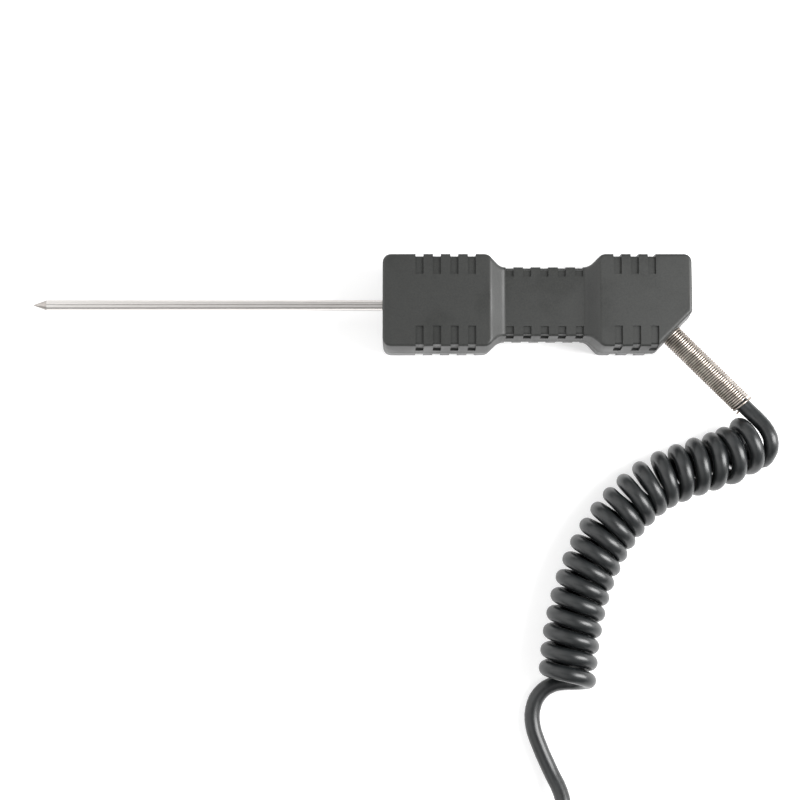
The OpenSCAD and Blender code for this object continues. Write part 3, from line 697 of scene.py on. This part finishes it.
def makeShellMesh(name, parity, rim, size=shellSizes):
    stations = outlineStations(size)
    edge = size["edge"]
    heights = [(0.2, lambda x: 0), (0, lambda x: 0.18), (0, lambda x: faceHeight(x) - edge)]
    for a in range(15, 91, 15):
        inset, rise = edge * (1 - cos(radians(a))), edge * sin(radians(a))
        heights.append((inset, lambda x, rise=rise: faceHeight(x) - edge + rise))
    heights.append((edge + 0.35, faceHeight))
    inner = [(size["wall"], lambda x: faceHeight(x) - size["roof"])]
    inner += [(inset, lambda x, z=z: z) for inset, z in rim]
    rings = [shellRing(stations, inset, height) for inset, height in inner + heights]
    points = [p for ring in rings for p in ring]
    count = len(stations)
    faces = []
    for low in range(0, (len(rings) - 1) * count, count):
        for k in range(count):
            j = (k + 1) % count
            faces.append((low + k, low + j, low + count + j, low + count + k))
    for first, flip in ((0, 1), ((len(rings) - 1) * count, 0)):
        faces += [f[::-1] if flip else f for f in roofFaces(points, first, stations)]
    return meshOf(name, [(p.x + noseX, p.y, p.z * parity + partingZ) for p in points], faces)


# flat faces over head, waist and tail, and narrow strips across the two steps
def roofFaces(points, first, stations):
    count = len(stations)
    # the tail's top corner comes halfway round
    half = next(k for k in range(count) if stations[k][1].x > handleLength - 15 and stations[k][0] == "arc")
    faces, upper, lower = [], list(range(half)), [count - 1 - k for k in range(half)]
    before, after = shellSizes["stepReach"]
    head, tail = shellSizes["head"], handleLength - shellSizes["tail"]

    def sloping(k):
        x = points[first + upper[k]].x
        return head - before < x < head + after or tail - after < x < tail + before

    k = 0
    while k < half - 1:
        last = k + 1
        if not sloping(k):
            while last < half - 1 and not sloping(last):
                last += 1
        if last == half - 1:
            faces.append(tuple(first + i for i in range(k, count - k)))
            break
        faces.append(tuple(first + i for i in upper[k:last + 1] + lower[k:last + 1][::-1]))
        k = last
    return faces


def notchTools(size, parity):
    tools = []
    rows = [(1, size["head"] + size["tailTop"], halfWide, halfThick, size["reach"]),
            (-1, size["head"] + size["tailBottom"], halfWide, halfThick, size["reach"]),
            (1, size["waist"], shellSizes["waistHalf"], shellSizes["waistFace"], size["waistReach"]),
            (-1, size["waist"], shellSizes["waistHalf"], shellSizes["waistFace"], size["waistReach"])]
    for side, spots, wide, thick, reach in rows:
        floor, cut = thick - size["depth"], size["depth"]
        faceSide = wide - thick * slope
        wallAt = [wide - z * slope - cut for z in (floor, size["ledge"])]
        turn = size["corner"]
        outline = [(faceSide - reach, thick + 2), (faceSide - reach, floor)]
        outline += arc((wallAt[0] - turn, floor - turn), turn, 90, 0, 6)
        outline += [(wallAt[1], size["ledge"]), (wide + 3, size["ledge"]), (wide + 3, thick + 2)]
        place = Matrix(((0, 0, 1, noseX), (side, 0, 0, 0), (0, parity, 0, partingZ), (0, 0, 0, 1)))
        tools += [prism("notch", outline, x - size["width"] / 2, x + size["width"] / 2, place)
                  for x in spots]
    return tools


innerSizes = {
    "pillar": 6.4, "screwHole": 2.6, "screwDepth": 8.5, "counterbore": 4.9, "screwSeat": 7,
    "roofOverlap": 10.6, "noseBlock": (1, 20, 13), "bushBlock": (-12.2, -1.6, 16), "needleBore": 3.2,
    "springBore": 7.7, "bushBore": 12.1, "bushAt": (-10.25, -2.2), "cordBore": 6.05, "collar": (10, 8, 9.1),
    "screws": [(8, 10.3), (8, -10.3), (80, -10.3), (97, 10.3)],
}


def screwPlace(x, y, parity):
    return Matrix(((1, 0, 0, x + noseX), (0, 1, 0, y), (0, 0, parity, partingZ), (0, 0, 0, 1)))


# the pillars and blocks inside a shell, and what is bored through them
def innerParts(parity, size):
    added, taken = [], []
    roof, flat = size["roofOverlap"], Matrix.Identity(4)
    for x, y in size["screws"]:
        place = screwPlace(x, y, parity)
        thick = size["pillar"] / 2
        added.append(turned("pillar", [(0, 0), (0, thick), (roof, thick), (roof, 0)], place, 36))
        hole, wide = size["screwHole"] / 2, size["counterbore"] / 2
        if parity > 0:
            bore = [(-1, 0), (-1, hole), (size["screwDepth"], hole), (size["screwDepth"], 0)]
        else:
            bore = [(-1, 0), (-1, hole), (size["screwSeat"], hole), (size["screwSeat"], wide),
                    (halfThick + 2, wide), (halfThick + 2, 0)]
        taken.append(turned("screwBore", bore, place, 40))
    low, high, wide = size["noseBlock"]
    ends = sorted((partingZ, partingZ + parity * roof))
    added.append(prism("noseBlock", [(noseX + low, -wide / 2), (noseX + high, -wide / 2),
                                     (noseX + high, wide / 2), (noseX + low, wide / 2)], *ends, flat))
    low, high, wide = size["bushBlock"]
    side = Vector((1, 1, 0)) / sqrt(2) * wide / 2
    corners = [exitPoint + springAxis * low - side, exitPoint + springAxis * high - side,
               exitPoint + springAxis * high + side, exitPoint + springAxis * low + side]
    added.append(prism("bushBlock", [(c.x, c.y) for c in corners], *ends, flat))
    start, long, wide = size["collar"]
    bore = size["needleBore"] / 2
    taken.append(turned("needleBore", [(-2, 0), (-2, bore), (start, bore), (start, wide / 2),
                                       (start + long, wide / 2), (start + long, bore), (22, bore), (22, 0)],
                        axisPlace((noseX, 0, partingZ), (1, 0, 0)), 48))
    low, high = size["bushAt"]
    radii = [size[key] / 2 for key in ("cordBore", "bushBore", "springBore")]
    taken.append(turned("springBore", [(-14, 0), (-14, radii[0]), (low, radii[0]), (low, radii[1]),
                                       (high, radii[1]), (high, radii[2]), (3, radii[2]), (3, 0)],
                        axisPlace(exitPoint, springAxis), 48))
    return added, taken


def makeShell(name, parity, rim):
    shell = addPiece(name, makeShellMesh(name, parity, rim))
    added, taken = innerParts(parity, innerSizes)
    carve(shell, added, "UNION")
    carve(shell, taken)
    carve(shell, notchTools(notchSizes, parity))
    shadeMesh(shell.data, 34)
    return shell


frontShell = makeShell("frontShell", 1, shellSizes["frontRim"])
backShell = makeShell("backShell", -1, shellSizes["backRim"])
for piece, node in ((frontShell, "front_shell"), (backShell, "back_shell")):
    finishPiece(piece, "shell_plastic", "handle")
    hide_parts(node)
print("shells moulded", len(frontShell.data.polygons), len(backShell.data.polygons))

# shell screws


screwSizes = {
    "length": 14, "diameter": 2.5, "point": 0.6, "pitch": 0.45, "thread": 0.22, "threads": 28,
    "head": 4.6, "headHeight": 1.8, "dome": 0.55, "recess": 2.1, "recessWidth": 0.6, "recessDepth": 1,
}


# a pan-head screw with a cross recess; z is 0 under its head
def makeScrew(size):
    length, radius, head, high = size["length"], size["diameter"] / 2, size["head"] / 2, size["headHeight"]
    thread, dome = size["thread"], size["dome"]
    across, wide = size["recess"] / 2, size["recessWidth"] / 2
    profile = [(0, 0), (0, radius - 0.5), (size["point"], radius)]
    profile += [(size["point"] + size["pitch"] * k + d, radius - thread * (d > 0))
                for k in range(size["threads"]) for d in (0, thread)]
    profile += [(length, radius - 0.1), (length, head - 0.15), (length + 0.15, head)]
    profile += [(length + high - dome + dome * sin(radians(a)), head - dome + dome * cos(radians(a)))
                for a in (0, 30, 60, 90)]
    headDown = Matrix.Scale(-1, 4, (0, 0, 1)) @ Matrix.Translation((0, 0, -length))
    screw = addPiece("screw", turned("screw", profile + [(length + high, 0)], headDown, 28))
    for a, b in ((across, wide), (wide, across)):
        slot = [(-a, -b), (a, -b), (a, b), (-a, b)]
        carve(screw, [prism("recess", slot, -high - 1, -high + size["recessDepth"], Matrix.Identity(4))])
    shadeMesh(screw.data, 30)
    mesh = screw.data
    bpy.data.objects.remove(screw)
    return mesh


screwSpots = [(noseX + x, y, partingZ - innerSizes["screwSeat"]) for x, y in innerSizes["screws"]]
shellScrews = copiesOf("shellScrews", makeScrew(screwSizes), screwSpots, finishes["screw_steel"])
finishPiece(shellScrews, "screw_steel", "handle")
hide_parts(*[f"shell_screw_{k}" for k in (1, 2, 3, 4)])
print("screws copied")

# plug

# distances run along the plug from the boot's rear end
plugSizes = {
    "bootLength": 14, "bootRear": 7.65, "bootFront": 11, "grooves": 4, "grooveWidth": 0.9,
    "grooveDiameter": 7.15, "spigot": (8, 17), "bodyDiameter": 12, "bodyEnd": 32, "neck": (10, 36.4),
    "ring": (32.3, 43.3), "ringDiameter": 15, "ringBore": 10.1, "ringLip": 2, "threadBore": 11.8,
    "bevel": 0.8, "ribs": 36, "clip": (34.35, 35.25, 9.4), "insert": (28, 42.1, 8.4),
    # distance from the middle, start, end, diameter and bore
    "contacts": (2.2, 26, 41.7, 1.5, 1.0),
}
plugPlace = axisPlace(plugAt, (0, -1, 0))


def soft(profile, sharp, radius=0.2):
    rounded = []
    for k, point in enumerate(profile):
        if k not in sharp:
            rounded.append(point)
            continue
        here, before, after = (Vector(p) for p in (point, profile[k - 1], profile[(k + 1) % len(profile)]))
        start = here + (before - here).normalized() * radius
        end = here + (after - here).normalized() * radius
        rounded += [tuple(start.lerp(here, t).lerp(here.lerp(end, t), t)) for t in (0, 0.33, 0.67, 1)]
    return rounded


def makeBoot(size):
    length, rear, front = size["bootLength"], size["bootRear"] / 2, size["bootFront"] / 2
    bore, floor, wide = cordSizes["diameter"] / 2 + 0.06, size["grooveDiameter"] / 2, size["grooveWidth"]

    def radiusAt(along):
        return rear + (front - rear) * along / length

    profile = [(0, bore), (0, rear - 0.35), (0.1, rear - 0.1), (0.35, radiusAt(0.35))]
    for k in range(1, size["grooves"] + 1):
        low = length * k / 5.5
        high = low + wide
        profile += [(low - 0.25, radiusAt(low) - 0.02), (low - 0.05, radiusAt(low) - 0.12),
                    (low, floor + 0.15), (low + 0.15, floor), (high - 0.15, floor), (high, floor + 0.15),
                    (high + 0.05, radiusAt(high) - 0.12), (high + 0.25, radiusAt(high) - 0.02)]
    spigot, spigotEnd = size["spigot"]
    profile += [(length, front), (length, spigot / 2), (spigotEnd, spigot / 2), (spigotEnd, bore)]
    return turned("plugBoot", profile, plugPlace, 56, bored=True)


def makeBody(size):
    radius, rear, end = size["bodyDiameter"] / 2, size["bootLength"], size["bodyEnd"]
    neck, neckEnd = size["neck"]
    low, high, floor = size["clip"]
    spigot, spigotEnd = size["spigot"]
    inner, insert = 4.9, size["insert"][2] / 2 + 0.06
    seat, bore = size["insert"][0], spigot / 2 + 0.06
    profile = [(rear, bore), (rear, radius - 0.5), (rear + 0.8, radius), (end, radius), (end, neck / 2),
               (low, neck / 2), (low, floor / 2), (high, floor / 2), (high, neck / 2), (neckEnd, neck / 2),
               (neckEnd, insert), (seat, insert), (seat, inner), (spigotEnd + 0.05, inner),
               (spigotEnd + 0.05, bore)]
    body = addPiece("plugBody", turned("plugBody", soft(profile, (2, 3, 9)), plugPlace, 72, bored=True))
    screwAt = plugPlace @ Vector((0, 0, rear + 7))
    hole = turned("screwHole", [(0, 0), (0, 1.06), (9, 1.06), (9, 0)], axisPlace(screwAt, (0, 0, 1)), 32)
    carve(body, [hole])
    shadeMesh(body.data, 32)
    return body


def makeRing(size):
    start, end = size["ring"]
    radius, bevel, thread = size["ringDiameter"] / 2 - 0.3, size["bevel"], size["threadBore"] / 2
    outside = [(start, size["ringBore"] / 2), (start, radius - bevel + 0.3), (start + 0.4, radius + 0.1)]
    outside += [(start + bevel + a, radius + b) for a, b in ((0, 0.3), (0.5, 0.3), (0.75, 0))]
    outside += [(start + end - a, r) for a, r in outside[:2:-1]]
    outside += [(end - 0.4, radius + 0.1), (end, radius - bevel + 0.3)]
    bore = [(end, thread + 0.4), (end - 0.4, thread)]
    bore += [(end - 0.8 - 0.7 * k - d, thread - 0.3 * (d > 0.2)) for k in range(10) for d in (0, 0.3, 0.45)
             if end - 0.8 - 0.7 * k - d > start + size["ringLip"] + 0.5]
    bore += [(start + size["ringLip"], thread), (start + size["ringLip"], size["ringBore"] / 2)]
    ring = turned("ringBody", soft(outside + bore, (3, 8), 0.12), plugPlace, 72, bored=True)
    # straight knurling: one rib, copied round the ring
    low, high = start + bevel + 0.55, end - bevel - 0.55
    wide = pi * size["ringDiameter"] / size["ribs"]
    outline = [(-0.2, -wide * 0.42), (0.08, -wide * 0.42), (0.29, -wide * 0.16), (0.29, wide * 0.16),
               (0.08, wide * 0.42), (-0.2, wide * 0.42)]
    rib = prism("rib", outline, low, high, Matrix.Identity(4))
    turns = [2 * pi * k / size["ribs"] for k in range(size["ribs"])]
    ribs = copiesOf("ribs", rib, [(radius * cos(t), radius * sin(t), 0) for t in turns],
                    finishes["plug_nickel"], 1.0)
    ribs.data.transform(Matrix.Translation(plugPlace.translation * mm) @ plugPlace.to_3x3().to_4x4())
    both = joined("couplingRing", [ring, ribs.data])
    shadeMesh(both, 32)
    bpy.data.objects.remove(ribs)
    return addPiece("couplingRing", both)


def makeInsert(size):
    start, end, wide = size["insert"]
    reach, _, _, across, _ = size["contacts"]
    outline = soft([(start, 0), (start, wide / 2), (end, wide / 2), (end, 0)], (2,))
    insert = addPiece("plugInsert", turned("plugInsert", outline, plugPlace, 56))
    bore = across / 2 + 0.05
    bored = [(start - 1, 0), (start - 1, bore), (end + 1, bore), (end + 1, 0)]
    places = [plugPlace @ Matrix.Rotation(radians(45 + 90 * k), 4, "Z") @ Matrix.Translation((reach, 0, 0))
              for k in range(4)]
    holes = [turned("hole", bored, place, 24) for place in places]
    key = turned("key", [(end - 5, 0), (end - 5, 0.7), (end + 1, 0.7), (end + 1, 0)],
                 plugPlace @ Matrix.Translation((wide / 2, 0, 0)), 24)
    carve(insert, holes + [key])
    shadeMesh(insert.data, 32)
    return insert


def makeContacts(size):
    reach, start, end, wide, bore = size["contacts"]
    profile = [(start, bore / 2), (start, wide / 2), (end - 0.15, wide / 2), (end, wide / 2 - 0.12),
               (end, bore / 2 + 0.12), (end - 0.15, bore / 2)]
    sleeve = turned("sleeve", profile, Matrix.Identity(4), 28, bored=True)
    turns = [radians(45 + 90 * k) for k in range(4)]
    sleeves = copiesOf("plugContacts", sleeve, [(reach * cos(t), reach * sin(t), 0) for t in turns],
                       finishes["contact_brass"])
    sleeves.data.transform(Matrix.Translation(plugPlace.translation * mm) @ plugPlace.to_3x3().to_4x4())
    return sleeves


plugPieces = {
    "plug_boot": (addPiece("plugBoot", makeBoot(plugSizes)), "seal_rubber", "lead"),
    "plug_body": (makeBody(plugSizes), "plug_nickel", "lead"),
    "plug_insert": (makeInsert(plugSizes), "insert_plastic", "lead"),
    "plug_contacts": (makeContacts(plugSizes), "contact_brass", "lead"),
    "coupling_ring": (makeRing(plugSizes), "plug_nickel", "plug_ring"),
}
for node, (piece, slot, body) in plugPieces.items():
    finishPiece(piece, slot, body)
    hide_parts(node)
print("plug made")

# floor and light

lightSizes = {
    "floorHalf": 4.0, "floorGap": 0.0001, "floorGlow": 0.42, "world": 0.55, "worldLeft": 1.45,
    # place in m, size in m, power in W
    "key": ((0.44, -0.03, 0.32), (0.25, 0.4), 4.8),
    "fill": ((-0.5, 0.05, 0.34), (0.6, 0.7), 0.8),
    # (place, tone) from the horizon in front, over the top at 0.5, to the horizon behind
    "domeTones": [(0.0, 0.02), (0.06, 0.02), (0.14, 0.6), (0.3, 1.0), (0.47, 1.0), (0.505, 0.3),
                  (0.55, 0.3), (0.59, 1.0), (0.85, 1.0), (1.0, 0.8)],
}


# glowing white acrylic under the probe, as on a light table: a clean white with faint shadows
def makeFloor(size):
    half, low = size["floorHalf"], -size["floorGap"]
    mesh = bpy.data.meshes.new("floor")
    corners = [(-half, -half, low), (half, -half, low), (half, half, low), (-half, half, low)]
    mesh.from_pydata(corners, [], [(0, 1, 2, 3)])
    floor = addPiece("floor", mesh)
    glow = {"Emission Color": linear("#ffffff"), "Emission Strength": size["floorGlow"]}
    acrylic = newFinish("opalAcrylic", glow, "#dedede", "#e2e2e2", 40, rough=(0.55, 0.6))
    floor.data.materials.append(acrylic)


def makeLight(name, place, span, power):
    light = bpy.data.objects.new(name, bpy.data.lights.new(name, "AREA"))
    bpy.context.scene.collection.objects.link(light)
    light.data.shape = "RECTANGLE"
    light.data.size, light.data.size_y = span
    light.data.energy = power
    light.location = place
    light.rotation_euler = (Vector((0, 0, 0)) - Vector(place)).to_track_quat("-Z", "Y").to_euler()


# a bright dome, stronger on the left, with a dark band low in front and a dim one overhead
def makeWorld(size):
    world = bpy.data.worlds.new("studio")
    bpy.context.scene.world = world
    world.use_nodes = True
    tree = world.node_tree
    where = addNode(tree, "ShaderNodeTexCoord")
    parts = addNode(tree, "ShaderNodeSeparateXYZ", links={0: where.outputs["Generated"]})
    angle = addNode(tree, "ShaderNodeMath", links={0: parts.outputs["Y"], 1: parts.outputs["Z"]},
                    operation="ARCTAN2")
    spread = addNode(tree, "ShaderNodeMapRange", {"From Min": -pi / 2, "From Max": pi / 2},
                     {"Value": angle.outputs[0]})
    ramp = addNode(tree, "ShaderNodeValToRGB", links={0: spread.outputs[0]})
    while len(ramp.color_ramp.elements) < len(size["domeTones"]):
        ramp.color_ramp.elements.new(0.5)
    for element, (place, tone) in zip(ramp.color_ramp.elements, size["domeTones"]):
        element.position, element.color = place, (tone, tone, tone, 1)
    back = tree.nodes["Background"]
    leftwards = addNode(tree, "ShaderNodeMapRange", {
        "From Min": -0.35, "From Max": 0.05, "To Min": size["worldLeft"], "To Max": size["world"]},
        {"Value": parts.outputs["X"]}, interpolation_type="SMOOTHSTEP")
    tree.links.new(leftwards.outputs[0], back.inputs["Strength"])
    tree.links.new(ramp.outputs[0], back.inputs["Color"])
    # the room behind the floor looks plain white, and only lights and reflections show its darker parts
    room = addNode(tree, "ShaderNodeBackground", {"Color": (1, 1, 1, 1), "Strength": 1.0})
    rays = addNode(tree, "ShaderNodeLightPath")
    mixed = addNode(tree, "ShaderNodeMixShader", links={
        0: rays.outputs["Is Camera Ray"], 1: back.outputs[0], 2: room.outputs[0]})
    tree.links.new(mixed.outputs[0], tree.nodes["World Output"].inputs["Surface"])


makeFloor(lightSizes)
makeLight("key", *lightSizes["key"])
makeLight("fill", *lightSizes["fill"])
makeWorld(lightSizes)
bpy.context.scene.view_settings.view_transform = "Standard"
print("lights placed")
